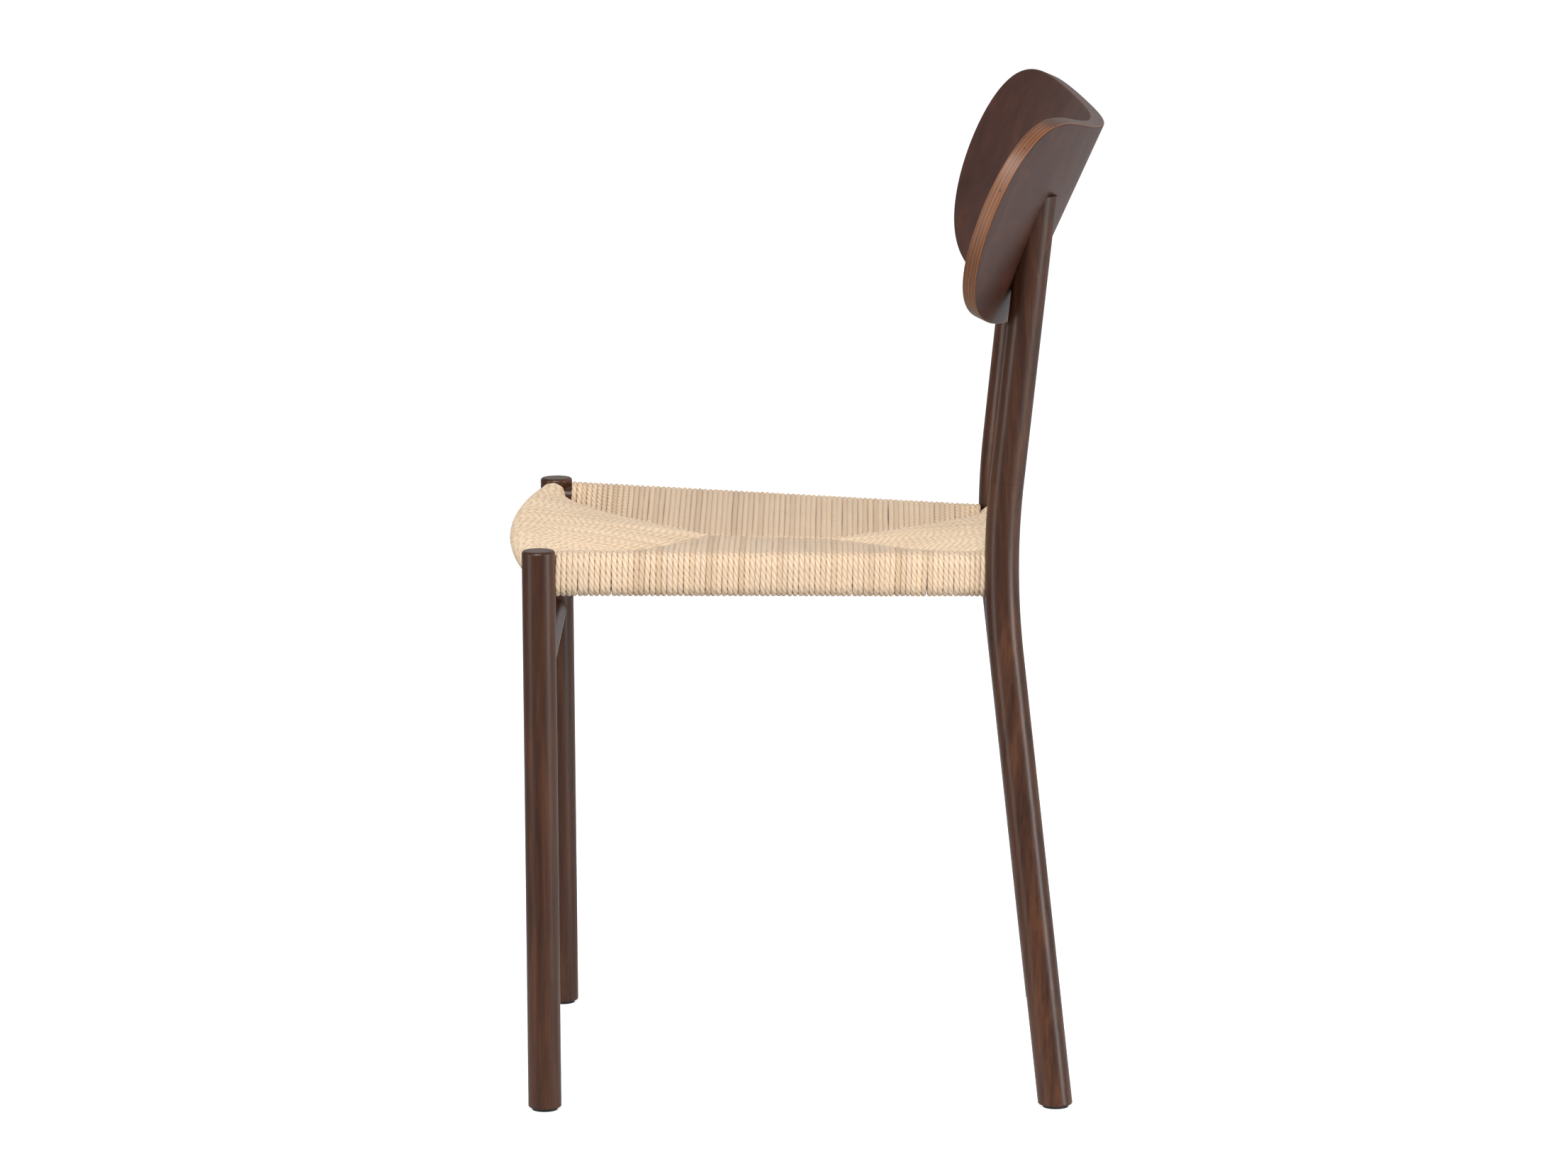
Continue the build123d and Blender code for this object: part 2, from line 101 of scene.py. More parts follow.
# ---------------------------------------------------------------- material helpers
class Shader:
    """A Principled material and short ways to add and link nodes to it."""

    def __init__(self, name, roughness=0.5):
        self.material = bpy.data.materials.new(name)
        self.material.use_nodes = True
        self.tree = self.material.node_tree
        self.principled = self.tree.nodes["Principled BSDF"]
        self.principled.inputs["Roughness"].default_value = roughness

    def node(self, kind, **inputs):
        """A new node, with its inputs by name: a space is written as an underscore."""
        made = self.tree.nodes.new(kind)
        for name, value in inputs.items():
            self.feed(made.inputs[name.replace("_", " ")], value)
        return made

    def feed(self, socket, value):
        """Link a socket to another node's output, or set it to a plain value."""
        if isinstance(value, bpy.types.NodeSocket):
            self.tree.links.new(value, socket)
        else:
            socket.default_value = value

    def math(self, operation, a, b=0.0, c=0.0):
        made = self.tree.nodes.new("ShaderNodeMath")
        made.operation = operation
        for socket, value in zip(made.inputs, (a, b, c)):
            self.feed(socket, value)
        return made.outputs[0]

    def position(self):
        return self.tree.nodes.new("ShaderNodeTexCoord").outputs["Object"]

    def coords(self, scale, turn=(0, 0, 0)):
        """Object coordinates, stretched along their own axes and then turned."""
        mapping = self.node("ShaderNodeMapping")
        mapping.inputs["Scale"].default_value = scale
        mapping.inputs["Rotation"].default_value = turn
        self.feed(mapping.inputs["Vector"], self.position())
        return mapping.outputs[0]

    def vector_math(self, operation, a, b):
        made = self.tree.nodes.new("ShaderNodeVectorMath")
        made.operation = operation
        self.feed(made.inputs[0], a)
        self.feed(made.inputs[1], b)
        return made.outputs["Value" if operation == "DOT_PRODUCT" else "Vector"]

    def noise(self, vector, scale=1.0, detail=3.0, roughness=0.5, distortion=0.0):
        made = self.node("ShaderNodeTexNoise", Vector=vector, Scale=scale, Detail=detail)
        made.inputs["Roughness"].default_value = roughness
        made.inputs["Distortion"].default_value = distortion
        return made.outputs["Fac"]

    def ramp(self, value, stops):
        made = self.tree.nodes.new("ShaderNodeValToRGB")
        self.tree.links.new(value, made.inputs["Fac"])
        elements = made.color_ramp.elements
        while len(elements) < len(stops):
            elements.new(0.5)
        for element, (position, colour) in zip(elements, stops):
            element.position = position
            element.color = (*colour, 1)
        return made.outputs["Color"]

    def mix(self, factor, a, b, blend="MIX"):
        made = self.tree.nodes.new("ShaderNodeMix")
        made.data_type = "RGBA"
        made.blend_type = blend
        self.feed(made.inputs["Factor"], factor)
        for socket, value in ((made.inputs["A"], a), (made.inputs["B"], b)):
            self.feed(socket, (*value, 1) if isinstance(value, tuple) else value)
        return made.outputs["Result"]

    def bump(self, height, strength, distance):
        made = self.node("ShaderNodeBump", Height=height)
        made.inputs["Strength"].default_value = strength
        made.inputs["Distance"].default_value = distance
        self.tree.links.new(made.outputs["Normal"], self.principled.inputs["Normal"])

    def colour(self, value):
        self.tree.links.new(value, self.principled.inputs["Base Color"])


# ---------------------------------------------------------------- materials
WHITE = (1, 1, 1)
WALNUT_DARK = (0.041, 0.0135, 0.0062)
WALNUT_MID = (0.062, 0.0225, 0.0105)
WALNUT_RED = (0.092, 0.0330, 0.0135)
JOINT_LINE = (0.020, 0.009, 0.006)
JOINT_HALF_WIDTH = 0.00035


def stained_wood(name, scale, shift=0.0, joint=None):
    """Dark stained wood whose grain runs along the axis with the small scale.

    shift moves the figure, so no two pieces have the same. joint is a plane, as its normal and its distance
    from the origin, where a fine dark line goes round the piece.
    """
    s = Shader(name)
    where = s.vector_math("ADD", s.coords(scale), (shift, shift * 0.7, shift * 1.3))
    bands = s.noise(where, 0.8, 2.0, 0.5, 0.5)
    fibres = s.noise(where, 3.2, 4.0, 0.62, 0.15)
    pores = s.noise(where, 11.0, 2.0, 0.6)
    base = s.ramp(bands, [(0.33, WALNUT_DARK), (0.5, WALNUT_MID), (0.66, WALNUT_RED)])
    fine = s.ramp(fibres, [(0.3, (0.72, 0.70, 0.70)), (0.55, WHITE), (0.75, (1.2, 1.17, 1.12))])
    colour = s.mix(0.9, base, fine, "MULTIPLY")
    specks = s.ramp(pores, [(0.30, (0.45, 0.40, 0.38)), (0.42, WHITE)])
    colour = s.mix(0.45, colour, specks, "MULTIPLY")
    if joint is not None:
        normal, offset = joint
        along_leg = s.vector_math("DOT_PRODUCT", s.position(), normal)
        height = s.math("ABSOLUTE", s.math("SUBTRACT", along_leg, offset))
        line = s.math("LESS_THAN", height, JOINT_HALF_WIDTH)
        colour = s.mix(s.math("MULTIPLY", line, 0.45), colour, JOINT_LINE)
    s.colour(colour)
    s.feed(s.principled.inputs["Roughness"], s.math("MULTIPLY_ADD", fibres, 0.16, 0.26))
    s.principled.inputs["Specular IOR Level"].default_value = 0.42
    s.bump(fibres, 0.10, 0.0004)
    return s.material


PLY_LAYERS = 9.0
FRONT_VENEER = 0.05  # depths in the ply where the faces' veneers and the reddish layer at the rear begin
REAR_VENEER = 0.965
RED_LAYER = 0.88
CROSSCUT_STAIN = (0.062, 0.022, 0.014)
GLUE_LINE = (0.050, 0.020, 0.011)
KNOT = (0.040, 0.018, 0.012)
RED_EDGE = (0.25, 0.082, 0.022)


def ply_depth(s, position):
    """0 on the back's front face and 1 on its rear face, from the curve that the CAD gives the back."""
    parts = s.node("ShaderNodeSeparateXYZ", Vector=position)
    x, y, z = parts.outputs
    square = s.math("MULTIPLY", x, x)
    bow = s.math("MULTIPLY", square, 1 / (2 * BACK_PLAN_RADIUS))
    straighten = -BACK_WING_EASE / BACK_EASE_AT**4
    ease = s.math("MULTIPLY", s.math("MULTIPLY", square, square), straighten)
    flat = s.math("SUBTRACT", y, LEG_AXIS_Y + BACK_DEPTH)
    lean = s.math("MULTIPLY", s.math("SUBTRACT", z, BACK_HEIGHT), -math.tan(BACK_LEAN))
    gap = s.math("ADD", s.math("ADD", flat, lean), s.math("ADD", bow, ease))
    slope = s.math("MULTIPLY_ADD", s.math("MULTIPLY", square, x), 4 * straighten,
                   s.math("MULTIPLY", x, 1 / BACK_PLAN_RADIUS))
    length = s.math("SQRT", s.math("MULTIPLY_ADD", slope, slope, 1 + math.tan(BACK_LEAN) ** 2))
    return s.math("DIVIDE", gap, s.math("MULTIPLY", length, BACK_THICKNESS))


def layered_ply(name):
    """Bent ply: stained face veneers, and an edge that shows its layers where it runs along the grain."""
    s = Shader(name)
    depth = ply_depth(s, s.position())
    # face veneer: short fine fibres up the back, broad cloudy figure and faint ripples across it
    fibres = s.noise(s.coords((420, 420, 26), (-BACK_LEAN, 0, 0)), 1.0, 4.0, 0.6, 0.2)
    figure = s.noise(s.coords((22, 22, 9), (-BACK_LEAN, 0.5, 0)), 1.0, 4.0, 0.6, 2.2)
    ripple = s.noise(s.coords((30, 30, 420), (-BACK_LEAN, 0, 0)), 1.0, 2.0, 0.5, 0.4)
    face = s.ramp(figure, [(0.30, (0.046, 0.0155, 0.0100)), (0.52, (0.064, 0.0215, 0.0135)),
                           (0.66, (0.085, 0.0290, 0.0165)), (0.78, (0.120, 0.0430, 0.0210))])
    grain = s.ramp(fibres, [(0.3, (0.78, 0.76, 0.76)), (0.6, WHITE), (0.8, (1.14, 1.12, 1.08))])
    face = s.mix(0.8, face, grain, "MULTIPLY")
    # edge: alternate long-grain and end-grain layers with thin dark glue lines
    along = s.noise(s.coords((24, 24, 24)), 1.0, 3.0, 0.6, 0.3)
    sliced = s.node("ShaderNodeCombineXYZ", X=s.math("MULTIPLY", depth, 42.0))
    lengthwise = s.vector_math("ADD", s.coords((22, 22, 22)), sliced.outputs[0])
    streak = s.noise(lengthwise, 1.0, 3.0, 0.65)
    cloud = s.noise(s.coords((16, 16, 16)), 1.0, 2.0, 0.5)
    wavy = s.math("ADD", depth, s.math("MULTIPLY", s.math("SUBTRACT", along, 0.5), 0.045))
    layer = s.math("MULTIPLY", wavy, PLY_LAYERS)
    within = s.math("FRACT", layer)
    odd = s.math("GREATER_THAN", s.math("FRACT", s.math("MULTIPLY", layer, 0.5)), 0.5)
    light = s.ramp(streak, [(0.25, (0.150, 0.062, 0.030)), (0.6, (0.255, 0.118, 0.062)),
                            (0.8, (0.34, 0.175, 0.10))])
    dark = s.ramp(streak, [(0.25, (0.115, 0.045, 0.022)), (0.7, (0.215, 0.092, 0.046))])
    edge = s.mix(odd, light, dark)
    shade = s.ramp(cloud, [(0.35, (0.78, 0.70, 0.62)), (0.65, (1.08, 1.08, 1.08))])
    edge = s.mix(1.0, edge, shade, "MULTIPLY")
    glue = s.math("LESS_THAN", s.math("MINIMUM", within, s.math("SUBTRACT", 1.0, within)), 0.06)
    edge = s.mix(s.math("MULTIPLY", glue, 0.45), edge, GLUE_LINE)
    rim = s.math("GREATER_THAN", depth, RED_LAYER)
    edge = s.mix(s.math("MULTIPLY", rim, 0.7), edge, RED_EDGE)
    knots = s.noise(s.coords((330, 330, 95), (-BACK_LEAN, 0, 0)), 1.0, 1.0, 0.4)
    edge = s.mix(s.math("MULTIPLY", s.math("GREATER_THAN", knots, 0.755), 0.7), edge, KNOT)
    # the top and bottom edges cut across the grain and took more stain
    normal = s.tree.nodes.new("ShaderNodeNewGeometry").outputs["Normal"]
    upward = s.vector_math("DOT_PRODUCT", normal, (0, math.sin(BACK_LEAN), math.cos(BACK_LEAN)))
    crosscut = s.node("ShaderNodeMapRange", Value=s.math("ABSOLUTE", upward), From_Min=0.88, From_Max=0.985)
    crosscut.interpolation_type = "SMOOTHSTEP"
    edge = s.mix(s.math("MULTIPLY", crosscut.outputs["Result"], 0.9), edge, CROSSCUT_STAIN)
    inside = s.math("MULTIPLY", s.math("GREATER_THAN", depth, FRONT_VENEER),
                    s.math("LESS_THAN", depth, REAR_VENEER))
    s.colour(s.mix(inside, face, edge))
    s.feed(s.principled.inputs["Roughness"], s.math("MULTIPLY_ADD", fibres, 0.12, 0.34))
    s.principled.inputs["Specular IOR Level"].default_value = 0.40
    s.bump(s.math("MULTIPLY_ADD", ripple, 0.5, fibres), 0.09, 0.0004)
    return s.material


# painted shade: the brown that darkens the grooves between the cord's plies
CORD_GROOVE_SHADE = (0.42, 0.27, 0.145)


def paper_cord(name):
    """Twisted paper cord. The strands carry their own tint and, at each point, how deep it lies in the groove
    between plies, which darkens the colour there as painted shade.
    """
    s = Shader(name, roughness=0.72)
    tint = s.node("ShaderNodeAttribute")
    tint.attribute_name = "tint"
    groove_shade = s.node("ShaderNodeAttribute")
    groove_shade.attribute_name = "groove_shade"
    cloud = s.noise(s.coords((14, 14, 14)), 1.0, 3.0, 0.6)
    fibre = s.noise(s.coords((900, 900, 900)), 1.0, 3.0, 0.65)
    base = s.ramp(cloud, [(0.3, (0.75, 0.585, 0.425)), (0.7, (0.80, 0.640, 0.475))])
    strand = s.ramp(tint.outputs["Fac"], [(0.0, (0.86, 0.82, 0.76)), (0.5, WHITE), (1.0, (1.06, 1.04, 1.0))])
    colour = s.mix(1.0, base, strand, "MULTIPLY")
    colour = s.mix(0.35, colour, s.ramp(fibre, [(0.3, (0.82, 0.78, 0.72)), (0.6, WHITE)]), "MULTIPLY")
    # painted shade: the colour darkens towards the bottom of the grooves between plies
    colour = s.mix(s.math("MULTIPLY", groove_shade.outputs["Fac"], 0.55), colour, CORD_GROOVE_SHADE)
    s.colour(colour)
    s.principled.inputs["Specular IOR Level"].default_value = 0.25
    s.principled.inputs["Sheen Weight"].default_value = 0.12
    s.principled.inputs["Sheen Roughness"].default_value = 0.5
    s.bump(fibre, 0.25, 0.0002)
    return s.material


def plain_detail(name, low, high, scale, roughness, metallic=0.0):
    """A quieter procedural finish for small or hidden pieces."""
    s = Shader(name, roughness)
    speck = s.noise(s.coords((scale, scale, scale)), 1.0, 3.0, 0.6)
    s.colour(s.ramp(speck, [(0.3, low), (0.7, high)]))
    s.principled.inputs["Metallic"].default_value = metallic
    s.bump(speck, 0.15, 0.0003)
    return s.material


def joint_plane(node):
    """The plane where the upper rear leg starts: its normal and its distance from the origin."""
    side = 1 if node.endswith("left") else -1
    sideways, rearward = UPPER_LEG_SLOPE
    normal = Vector((side * sideways, rearward, 1)).normalized()
    return tuple(normal), min(normal.dot(v.co) for v in nodes[node].data.vertices)


def dress(node, material):
    """Give a CAD node one material all over."""
    data = nodes[node].data
    data.materials.clear()
    data.materials.append(material)


UPRIGHT = (150, 150, 7)
CROSSWISE = (7, 150, 150)
LENGTHWISE = (150, 7, 150)
for index, side in enumerate(("left", "right")):
    dress(f"front_leg_{side}", stained_wood(f"wood_front_leg_{side}", UPRIGHT, 3.1 + index))
    upper = f"rear_leg_upper_{side}"
    joint = joint_plane(upper)
    rear_wood = stained_wood(f"wood_rear_leg_{side}", UPRIGHT, 5.7 + index, joint)
    dress(upper, rear_wood)
    dress(f"rear_leg_lower_{side}", rear_wood)
    dress(f"seat_rail_{side}", stained_wood(f"wood_rail_{side}", LENGTHWISE, 12.0 + index))
for node in ("seat_rail_front", "seat_rail_rear", "front_stretcher"):
    dress(node, stained_wood(f"wood_{node}", CROSSWISE, 17.0 + len(node)))
dress("screw_plugs", stained_wood("wood_plugs", UPRIGHT, 23.0))
dress("backrest", layered_ply("layered_ply"))
board = plain_detail("cardboard", (0.30, 0.20, 0.12), (0.42, 0.30, 0.19), 300, 0.85)
beech = plain_detail("raw_beech", (0.50, 0.34, 0.20), (0.62, 0.45, 0.29), 250, 0.6)
steel = plain_detail("zinc_steel", (0.42, 0.42, 0.43), (0.58, 0.58, 0.58), 600, 0.35, 1.0)
black = plain_detail("glide_black", (0.010, 0.010, 0.010), (0.022, 0.021, 0.020), 500, 0.55)
for node in nodes:
    if node.startswith("seat_stuffing"):
        dress(node, board)
    if node.startswith("foot_glide"):
        dress(node, black)
dress("rear_leg_dowels", beech)
dress("backrest_screws", steel)
dress("cord_tacks", steel)

# ---------------------------------------------------------------- twisted strands
CORD_RADIUS = 0.0022
CORD_SWELL = 1.12  # the plies bulge past the cord's own pitch and press on their neighbours
PLY_ROUND = 0.18  # depth of the hollows between the plies, as a share of the radius
LAY = 0.0175  # length of one full turn of the three plies
TWIST_WAVER = 0.7  # how far, in radians, the twist runs ahead and behind
WAVER_LENGTH = 0.021


ANY_DIRECTION = (0.31, 0.57, 0.76)  # one that no strand runs along


class Strands:
    """Collects rope tubes into one mesh, with their tint and the painted shade of the grooves between plies
    kept per vertex.
    """

    def __init__(self, around, step):
        """around is the number of points in a ring, and step is the distance between rings."""
        self.around = around
        self.step = step
        self.points, self.faces, self.tints, self.groove_shades = [], [], [], []
        self.count = 0
        self.length = 0.0

    def add(self, route, radius=CORD_RADIUS):
        """One strand along a route, with its own tint, start of twist and length of lay."""
        route = np.array([tuple(p) for p in route])
        spans = np.linalg.norm(np.diff(route, axis=0), axis=1)
        run = np.concatenate([[0.0], np.cumsum(spans)])
        rings = max(4, int(run[-1] / self.step) + 1)
        at = np.linspace(0, run[-1], rings)
        line = np.stack([np.interp(at, run, route[:, k]) for k in range(3)], 1)
        line[1:-1] = (line[:-2] + 2 * line[1:-1] + line[2:]) / 4
        ahead = np.gradient(line, axis=0)
        ahead /= np.linalg.norm(ahead, axis=1)[:, None]
        side = np.cross(ahead[0], ANY_DIRECTION)
        side /= np.linalg.norm(side)
        phase = random.uniform(0, 2 * math.pi)
        tint = min(1.0, max(0.0, random.gauss(0.5, 0.22)))
        turn = 2 * math.pi * np.arange(self.around) / self.around
        lobe = np.abs(np.cos(1.5 * turn))
        reach = radius * CORD_SWELL * (1 - PLY_ROUND + PLY_ROUND * lobe**0.8)
        # painted shade: 1 at the bottom of a groove between plies, 0 on a ply's crest
        hollow_shade = (1 - lobe) ** 1.6
        first = self.count
        waver = random.uniform(0, 2 * math.pi)
        lay = LAY * random.uniform(0.92, 1.08)
        twist = 2 * math.pi * at / lay + TWIST_WAVER * np.sin(at / WAVER_LENGTH + waver)
        for ring in range(rings):
            side = side - ahead[ring] * side.dot(ahead[ring])
            side /= np.linalg.norm(side)
            other = np.cross(ahead[ring], side)
            angle = turn + phase - twist[ring]
            self.points.append(line[ring] + (np.cos(angle) * reach)[:, None] * side
                               + (np.sin(angle) * reach)[:, None] * other)
            self.groove_shades.append(hollow_shade)
        self.tints.append(np.full(rings * self.around, tint))
        grid = first + np.arange(rings * self.around).reshape(rings, self.around)
        beside = np.roll(grid, -1, axis=1)
        self.faces.append(np.stack([grid[:-1], beside[:-1], beside[1:], grid[1:]], -1).reshape(-1, 4))
        self.count += rings * self.around
        self.length += run[-1]

    def build(self, name, material):
        """The strands so far, as one piece that rides on the chair."""
        mesh = bpy.data.meshes.new(name)
        points = np.concatenate(self.points)
        faces = np.concatenate(self.faces)
        mesh.vertices.add(len(points))
        mesh.vertices.foreach_set("co", points.astype(np.float32).ravel())
        mesh.loops.add(faces.size)
        mesh.loops.foreach_set("vertex_index", faces.astype(np.int32).ravel())
        mesh.polygons.add(len(faces))
        mesh.polygons.foreach_set("loop_start", np.arange(0, faces.size, 4, dtype=np.int32))
        mesh.polygons.foreach_set("use_smooth", np.ones(len(faces), bool))
        mesh.update(calc_edges=True)
        # the tint and the painted shade of the grooves go onto the mesh as point attributes
        for label, values in (("tint", self.tints), ("groove_shade", self.groove_shades)):
            layer = mesh.attributes.new(label, "FLOAT", "POINT")
            flat = np.concatenate([np.ravel(v) for v in values])
            layer.data.foreach_set("value", flat.astype(np.float32))
        mesh.materials.append(material)
        piece = bpy.data.objects.new(name, mesh)
        bpy.context.scene.collection.objects.link(piece)
        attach(piece, "root")
        return piece


# ---------------------------------------------------------------- how the seat is woven
PITCH = 0.00440
LEG_CLEAR_FRONT = 0.0133  # leg axis to the side of the first strand
LEG_CLEAR_REAR = 0.0118
TIP_FRONT = 0.134  # depths where the two seams of a pair meet in the middle of the seat
TIP_REAR = 0.235
CORNER_FRONT = 0.165  # how far out the seams start
CORNER_REAR = 0.105
SEAM_FRONT_LOW = -0.0025  # height of the top seams above the rails' middle, at the corners and in the middle
SEAM_REAR_LOW = 0.0085
SEAM_HIGH = 0.0034
UNDER_LOW = -0.0115  # and of the seams underneath
UNDER_HIGH = -0.0100
CROWN = 0.0014  # rise of the longest strands between seam and rail
CROWN_LENGTH = 0.12  # shorter strands rise less
SEAM_GAP = 0.0026  # seam to the place where a strand comes level
SEAM_TUCK = 0.0018  # how far back it then leads, down to DIVE below
DIVE = 0.005
STRAIGHT_STEP = 0.010
TIGHT_TURN = 1.05  # the nearest that a strand's start may be to the rail, in radii of its bend


def spread(first, last, count):
    """The middles of that many equal steps from first to last."""
    return [first + (last - first) * (i + 0.5) / count for i in range(count)]


# what the cord's middle goes round: half the flat on top, height of the arcs above and below, their radius
CORNER_UP = RAIL_DEPTH / 2 - RAIL_ROUND
BAR = (RAIL_WIDTH / 2 - RAIL_ROUND, CORNER_UP, -CORNER_UP, RAIL_ROUND + CORD_RADIUS)
ROD = (0.0, FRONT_ROD_RISE, FRONT_ROD_RISE, FRONT_ROD_RADIUS + CORD_RADIUS)


TOP_STEPS = 6
WRAP_STEPS = 8


def field_run(length, height, under, section):
    """(distance out, height) from the dive at the seam, round the rail's inner edge, to the rail's top."""
    flip = -1 if under else 1
    flat, above, below, radius = section
    centre_out = length - flat
    centre_up = -below if under else above
    start_out, start_up = SEAM_GAP, height * flip
    away_out, away_up = centre_out - start_out, centre_up - start_up
    apart = math.hypot(away_out, away_up)
    if apart < radius * TIGHT_TURN:
        start_out, start_up = centre_out - radius * TIGHT_TURN, min(start_up, centre_up)
        away_out, away_up = centre_out - start_out, centre_up - start_up
        apart = math.hypot(away_out, away_up)
    lean = math.atan2(away_up, away_out) + math.asin(min(1.0, radius / apart))
    straight = math.sqrt(max(0.0, apart * apart - radius * radius))
    points = [(start_out - SEAM_TUCK, start_up - DIVE), (start_out - SEAM_TUCK * 2 / 3, start_up - DIVE / 2)]
    steps = max(2, int(straight / STRAIGHT_STEP))
    for i in range(steps + 1):
        s = i / steps
        rise = CROWN * 4 * s * (1 - s) * min(1.0, straight / CROWN_LENGTH)
        run = straight * s
        points.append((start_out + run * math.cos(lean), start_up + run * math.sin(lean) + rise))
    turn = lean + math.pi / 2
    for i in range(1, TOP_STEPS + 1):
        angle = turn + (math.pi / 2 - turn) * i / TOP_STEPS
        points.append((centre_out + radius * math.cos(angle), centre_up + radius * math.sin(angle)))
    return [(out, up * flip) for out, up in points]


def wrap_run(length, lean, section):
    """Points over the rail from its top, round its outer side and back underneath."""
    flat, above, below, radius = section
    points = []
    for start, height, sideways in ((math.pi / 2, above, 0.0), (0.0, below, lean)):
        for i in range(WRAP_STEPS + 1):
            angle = start - i / WRAP_STEPS * math.pi / 2
            out = length + flat + radius * math.cos(angle)
            points.append((out, height + radius * math.sin(angle), sideways))
    return points


def weave(name, strands, section):
    """Build one field and return the length of its cord.

    Each strand gives a function that places its points, its run from the seam to the rail's middle, its share
    of the way from the seam's corner to its tip, and the seam's height at that corner.
    """
    above = Strands(12, 0.0018)
    below = Strands(8, 0.0032)
    for place, length, share, seam_low in strands:
        lean = random.gauss(0, 0.00022)
        sway = random.gauss(0, 0.00018)
        height = seam_low + (SEAM_HIGH - seam_low) * share + random.gauss(0, 0.00015)
        top = [(out, up, sway * math.sin(out / max(length, 0.01) * math.pi))
               for out, up in field_run(length, height, False, section)]
        above.add([place(*point) for point in top + wrap_run(length, lean, section)],
                  CORD_RADIUS * random.uniform(0.965, 1.03))
        height = UNDER_LOW + (UNDER_HIGH - UNDER_LOW) * share
        below.add([place(out, up, lean) for out, up in field_run(length, height, True, section)])
    for suffix, bundle in (("top", above), ("under", below)):
        piece = bundle.build(f"cord_{name}_{suffix}", CORD_MATERIAL)
        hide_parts(f"seat_cord_{name}")
    return above.length + below.length


CORD_MATERIAL = paper_cord("paper_cord")
SIDE_NEAR = LEG_CLEAR_FRONT
SIDE_FAR = REAR_DEPTH - LEG_CLEAR_REAR
INNER_FRONT = FRONT_HALF - LEG_CLEAR_FRONT
INNER_REAR = REAR_HALF - LEG_CLEAR_REAR


def side_strands(side):
    """The strands over one side rail, which run in to the front seam, the middle line and the rear seam."""
    made = []

    def runner(y, seam_x):
        def place(out, height, sideways):
            return seat_point(side * (seam_x + out), y + sideways, height)

        return place

    for y in spread(SIDE_NEAR, TIP_FRONT, round((TIP_FRONT - SIDE_NEAR) / PITCH)):
        share = (y - SIDE_NEAR) / (TIP_FRONT - SIDE_NEAR)
        seam_x = CORNER_FRONT * (1 - share)
        made.append((runner(y, seam_x), side_rail_x(y) - seam_x, share, SEAM_FRONT_LOW))
    for y in spread(TIP_FRONT, TIP_REAR, round((TIP_REAR - TIP_FRONT) / PITCH)):
        made.append((runner(y, 0.0), side_rail_x(y), 1.0, 0.0))
    for y in spread(TIP_REAR, SIDE_FAR, round((SIDE_FAR - TIP_REAR) / PITCH)):
        share = (SIDE_FAR - y) / (SIDE_FAR - TIP_REAR)
        seam_x = CORNER_REAR * (1 - share)
        made.append((runner(y, seam_x), side_rail_x(y) - seam_x, share, SEAM_REAR_LOW))
    return made


def end_strands(front):
    """The strands over the front rod or the rear rail."""
    made = []
    if front:
        half, tip, corner, reach, seam_low, facing = (
            INNER_FRONT, TIP_FRONT, SIDE_NEAR, CORNER_FRONT, SEAM_FRONT_LOW, -1)
    else:
        half, tip, corner, reach, seam_low, facing = (
            INNER_REAR, TIP_REAR, SIDE_FAR, CORNER_REAR, SEAM_REAR_LOW, 1)

    def runner(x, seam_y):
        def place(out, height, sideways):
            return seat_point(x + sideways, seam_y + facing * out, height)

        return place

    for x in spread(-half, half, round(2 * half / PITCH)):
        share = max(0.0, 1 - abs(x) / reach)
        seam_y = corner + (tip - corner) * share
        rail_y = front_rail_y(x) if front else REAR_DEPTH
        made.append((runner(x, seam_y), abs(rail_y - seam_y), share, seam_low))
    return made


cord_length = 0.0
for side_name, side in (("left", 1), ("right", -1)):
    cord_length += weave(side_name, side_strands(side), BAR)
cord_length += weave("front", end_strands(True), ROD)
cord_length += weave("rear", end_strands(False), BAR)
print(f"cord drawn: {cord_length:.1f} m")


# ---------------------------------------------------------------- floor, light and camera
def seen_directly(tree):
    """1 for what the camera sees itself, 0 for light on its way between surfaces."""
    return tree.nodes.new("ShaderNodeLightPath").outputs["Is Camera Ray"]


FLOOR_REACH = 12.0
FLOOR_GLOW = 0.75


def make_floor():
    """A white paper floor that stays pale to the eye, with its glow kept off the chair."""
    mesh = bpy.data.meshes.new("floor")
    r = FLOOR_REACH
    mesh.from_pydata([(-r, -r, 0), (r, -r, 0), (r, r, 0), (-r, r, 0)], [], [(0, 1, 2, 3)])
    piece = bpy.data.objects.new("floor", mesh)
    bpy.context.scene.collection.objects.link(piece)
    s = Shader("floor_white", roughness=0.9)
    # it gives less light back from the photographer's side and from in front of the chair
    x, y, _ = s.node("ShaderNodeSeparateXYZ", Vector=s.position()).outputs
    lit = s.math("MULTIPLY_ADD", y, 0.30, s.math("MULTIPLY_ADD", x, -0.30, 0.5))
    s.colour(s.ramp(lit, [(0.15, (0.30, 0.30, 0.30)), (0.60, (0.90, 0.90, 0.90))]))
    s.principled.inputs["Specular IOR Level"].default_value = 0.1
    glow = s.node("ShaderNodeEmission")
    s.feed(glow.inputs["Strength"], s.math("MULTIPLY", seen_directly(s.tree), FLOOR_GLOW))
    both = s.node("ShaderNodeAddShader")
    s.feed(both.inputs[0], s.principled.outputs[0])
    s.feed(both.inputs[1], glow.outputs[0])
    s.feed(s.tree.nodes["Material Output"].inputs["Surface"], both.outputs[0])
    mesh.materials.append(s.material)


# name, place, the height it is aimed at over the origin, size, power in watts
LIGHTS = (
    ("key_high", (3.2, -0.6, 3.2), 0.40, (2.4, 2.0), 185),
    ("strip_rear", (1.5, 2.9, 0.75), 0.45, (0.7, 1.5), 34),
    ("strip_front", (1.5, -2.9, 0.75), 0.45, (0.7, 1.5), 20),
)


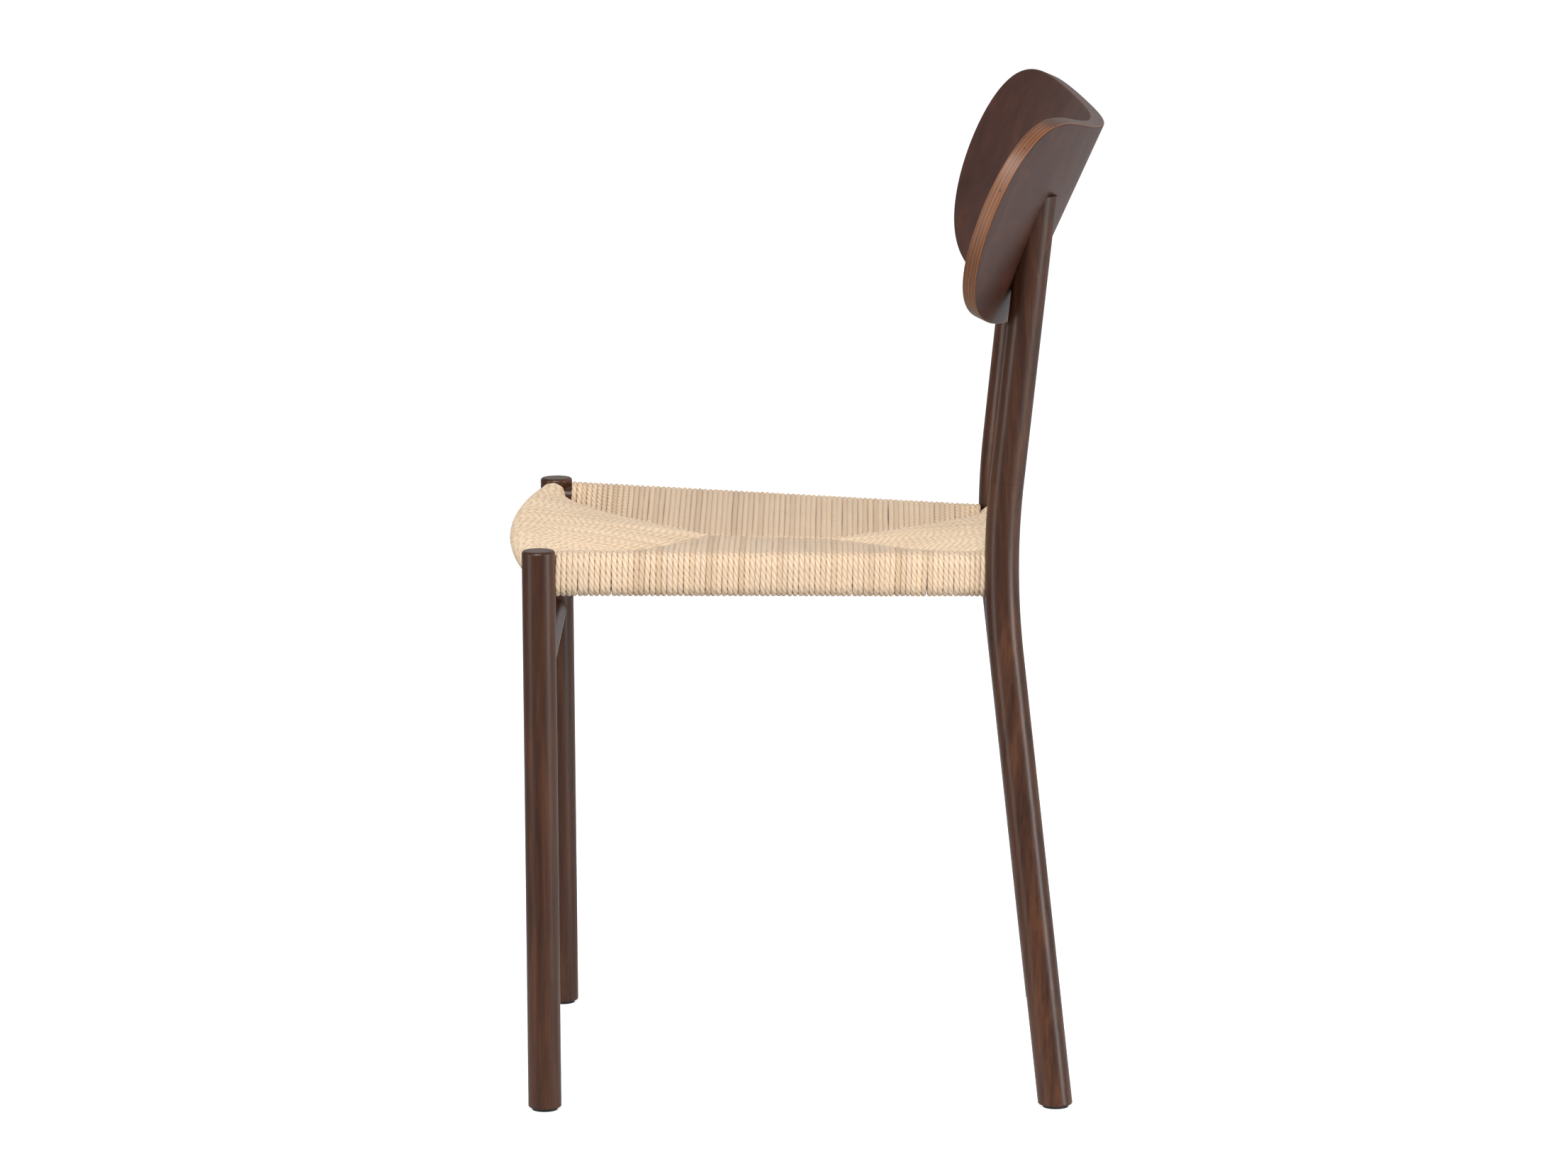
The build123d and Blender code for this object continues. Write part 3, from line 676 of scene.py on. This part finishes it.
def make_light(name, place, aim, size, power):
    data = bpy.data.lights.new(name, "AREA")
    data.shape = "RECTANGLE"
    data.size, data.size_y = size
    data.energy = power
    lamp = bpy.data.objects.new(name, data)
    lamp.location = place
    lamp.rotation_euler = (Vector((0, 0, aim)) - Vector(place)).to_track_quat("-Z", "Y").to_euler()
    bpy.context.scene.collection.objects.link(lamp)


WORLD_RAMP = {"From Min": -0.6, "From Max": 1.3, "To Min": 0.18, "To Max": 0.55}


def make_world():
    """A studio that the camera sees as white, and whose light is dim from the front and the camera's side."""
    world = bpy.data.worlds.new("studio")
    bpy.context.scene.world = world
    world.use_nodes = True
    tree = world.node_tree
    background = tree.nodes["Background"]
    direction = tree.nodes.new("ShaderNodeTexCoord").outputs["Generated"]
    split = tree.nodes.new("ShaderNodeSeparateXYZ")
    tree.links.new(direction, split.inputs[0])
    ramp = tree.nodes.new("ShaderNodeMapRange")
    ramp.interpolation_type = "SMOOTHSTEP"
    slant = tree.nodes.new("ShaderNodeMath")
    slant.operation = "SUBTRACT"
    tree.links.new(split.outputs["Y"], slant.inputs[0])
    tree.links.new(split.outputs["X"], slant.inputs[1])
    tree.links.new(slant.outputs[0], ramp.inputs["Value"])
    for name, value in WORLD_RAMP.items():
        ramp.inputs[name].default_value = value
    shown = tree.nodes.new("ShaderNodeMath")
    shown.operation = "MAXIMUM"
    tree.links.new(ramp.outputs["Result"], shown.inputs[0])
    tree.links.new(seen_directly(tree), shown.inputs[1])
    tree.links.new(shown.outputs[0], background.inputs["Strength"])
    background.inputs["Color"].default_value = (1, 1, 1, 1)


CAMERA_AZIMUTH = math.radians(90.49)  # from straight ahead of the chair towards its left side
CAMERA_ELEVATION = math.radians(9.848)
CAMERA_ROLL = math.radians(-0.369)
CAMERA_DISTANCE = 5.986
CAMERA_TARGET = (0.1954, 0.3957)  # depth from the front leg axis, and height
CAMERA_FOCAL = 10179.0 / 2212  # focal length in widths of the image
SENSOR_WIDTH = 36.0


def make_camera():
    """A long lens nearly square to the chair's left side, a little above the seat."""
    depth, height = CAMERA_TARGET
    target = Vector((0, LEG_AXIS_Y + depth, height))
    level = math.cos(CAMERA_ELEVATION)
    back = Vector((math.sin(CAMERA_AZIMUTH) * level, -math.cos(CAMERA_AZIMUTH) * level,
                   math.sin(CAMERA_ELEVATION)))
    right = (-back).cross(Vector((0, 0, 1))).normalized()
    up = right.cross(-back)
    rolled_right = right * math.cos(CAMERA_ROLL) + up * math.sin(CAMERA_ROLL)
    rolled_up = up * math.cos(CAMERA_ROLL) - right * math.sin(CAMERA_ROLL)
    data = bpy.data.cameras.new("camera")
    data.sensor_width = SENSOR_WIDTH
    data.lens = CAMERA_FOCAL * SENSOR_WIDTH
    data.clip_end = 50
    camera = bpy.data.objects.new("camera", data)
    turned = Matrix((rolled_right, rolled_up, back)).transposed()
    camera.matrix_world = Matrix.Translation(target + back * CAMERA_DISTANCE) @ turned.to_4x4()
    bpy.context.scene.collection.objects.link(camera)
    bpy.context.scene.camera = camera


make_floor()
make_world()
for light in LIGHTS:
    make_light(*light)
make_camera()
bpy.context.scene.view_settings.view_transform = "Standard"
